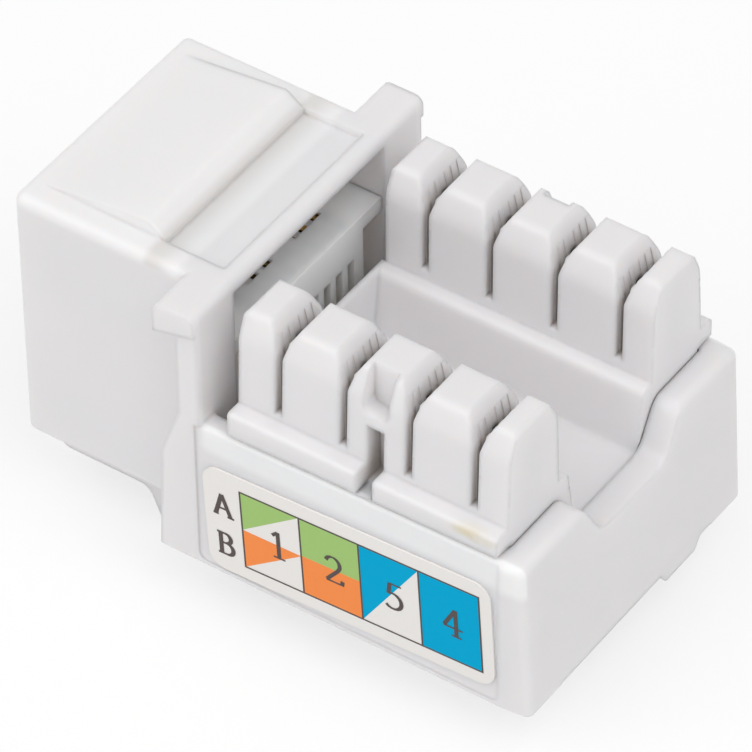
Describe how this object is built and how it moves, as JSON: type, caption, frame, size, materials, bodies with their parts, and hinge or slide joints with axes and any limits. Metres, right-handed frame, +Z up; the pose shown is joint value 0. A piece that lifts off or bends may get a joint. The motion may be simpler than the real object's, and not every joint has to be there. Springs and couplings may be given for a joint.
{
  "type": "keystone jack",
  "caption": "White unshielded keystone jack: plug socket in front, two rows of punch-down terminals on top, colour-coded wiring label on the side.",
  "frame": {"origin": "Centre of the bounding box in X and Y, on its lowest plane in Z, which is the tip of the panel latch.", "axes": "X across the jack, the label side at +X; Y from the plug port (-Y) to the rear wall (+Y); Z up, the terminals on top."},
  "size_m": [0.0196, 0.0318, 0.0208],
  "materials": {
    "housing_plastic": "satin white moulding",
    "terminal_plastic": "satin white moulding",
    "insert_plastic": "satin white moulding",
    "board": "solder-resist laminate",
    "label_film": "printed film",
    "bronze": "phosphor bronze, dull",
    "gold_plate": "gold plated"
  },
  "bodies": {
    "root": {"jack_housing": "housing_plastic", "terminal_block": "terminal_plastic", "contact_insert": "insert_plastic", "circuit_board": "board", "wiring_label": "label_film", "terminal_contact_1": "bronze", "terminal_contact_2": "bronze", "terminal_contact_3": "bronze", "terminal_contact_4": "bronze", "terminal_contact_5": "bronze", "terminal_contact_6": "bronze", "terminal_contact_7": "bronze", "terminal_contact_8": "bronze", "plug_contact_1": "gold_plate", "plug_contact_2": "gold_plate", "plug_contact_3": "gold_plate", "plug_contact_4": "gold_plate", "plug_contact_5": "gold_plate", "plug_contact_6": "gold_plate", "plug_contact_7": "gold_plate", "plug_contact_8": "gold_plate"}
  },
  "joints": []
}
